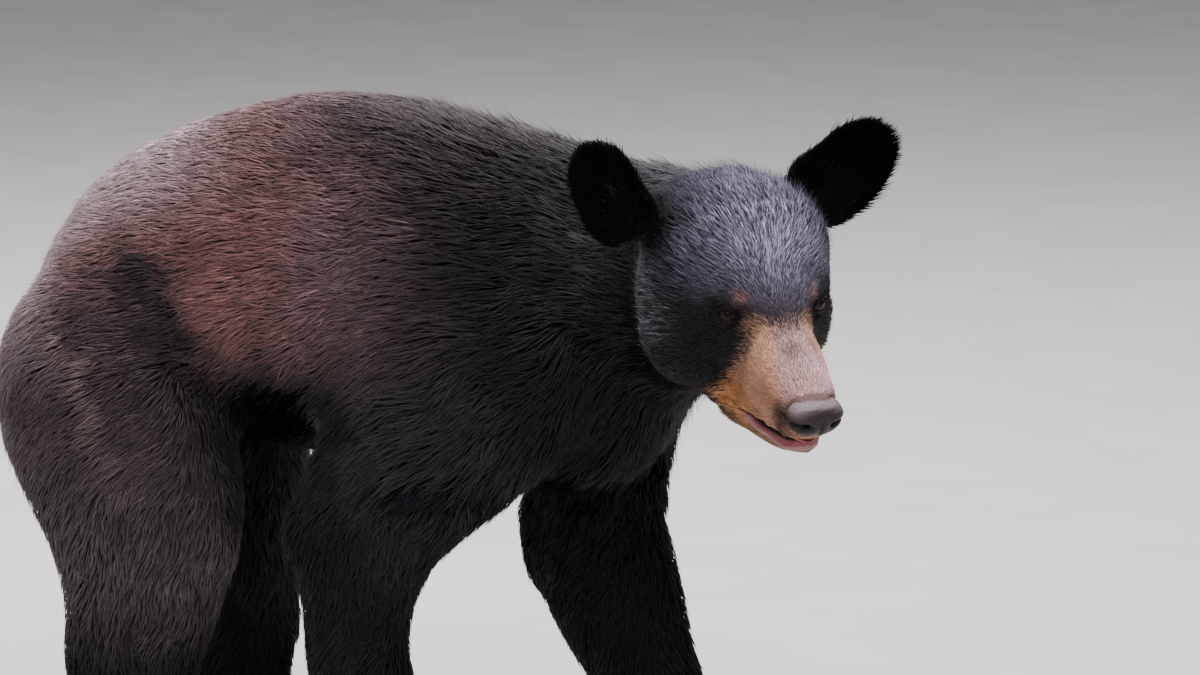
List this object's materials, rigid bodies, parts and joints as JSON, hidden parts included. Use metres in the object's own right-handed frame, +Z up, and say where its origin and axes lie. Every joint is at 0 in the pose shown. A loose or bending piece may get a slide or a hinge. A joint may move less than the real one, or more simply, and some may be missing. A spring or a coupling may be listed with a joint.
{
  "type": "black bear",
  "caption": "Life-size still model of a young black bear, standing in mid-stride with its head turned to its right; rests on its flat soles.",
  "frame": {"origin": "on the floor, under the middle of the bear's box", "axes": "+X the way the body faces, +Y its left, +Z up"},
  "size_m": [0.85, 0.3856, 0.6031],
  "materials": {
    "dark_coat": "black-brown fur, lighter and rusty brown over the back and flank",
    "face_coat": "short grizzled black fur, tan on the muzzle",
    "muzzle_coat": "short tan fur",
    "ear_skin": "near-black thin fur",
    "nose_skin": "moist, finely pebbled",
    "mouth_skin": "wet, smooth",
    "eye": "wet, glossy, dark brown",
    "horn": "smooth dark horn"
  },
  "bodies": {
    "root": {"trunk": "dark_coat", "neck": "dark_coat", "head": "face_coat", "jaw": "muzzle_coat", "tongue": "mouth_skin", "nose": "nose_skin", "eye_left": "eye", "eye_right": "eye", "ear_left": "ear_skin", "ear_right": "ear_skin", "tail": "dark_coat", "foreleg_upper_left": "dark_coat", "foreleg_upper_right": "dark_coat", "foreleg_lower_left": "dark_coat", "foreleg_lower_right": "dark_coat", "forepaw_left": "dark_coat", "forepaw_right": "dark_coat", "hindleg_upper_left": "dark_coat", "hindleg_upper_right": "dark_coat", "hindleg_lower_left": "dark_coat", "hindleg_lower_right": "dark_coat", "hindpaw_left": "dark_coat", "hindpaw_right": "dark_coat", "claw_fore_left_1": "horn", "claw_fore_left_2": "horn", "claw_fore_left_3": "horn", "claw_fore_left_4": "horn", "claw_fore_left_5": "horn", "claw_fore_right_1": "horn", "claw_fore_right_2": "horn", "claw_fore_right_3": "horn", "claw_fore_right_4": "horn", "claw_fore_right_5": "horn", "claw_hind_left_1": "horn", "claw_hind_left_2": "horn", "claw_hind_left_3": "horn", "claw_hind_left_4": "horn", "claw_hind_left_5": "horn", "claw_hind_right_1": "horn", "claw_hind_right_2": "horn", "claw_hind_right_3": "horn", "claw_hind_right_4": "horn", "claw_hind_right_5": "horn"}
  },
  "joints": []
}
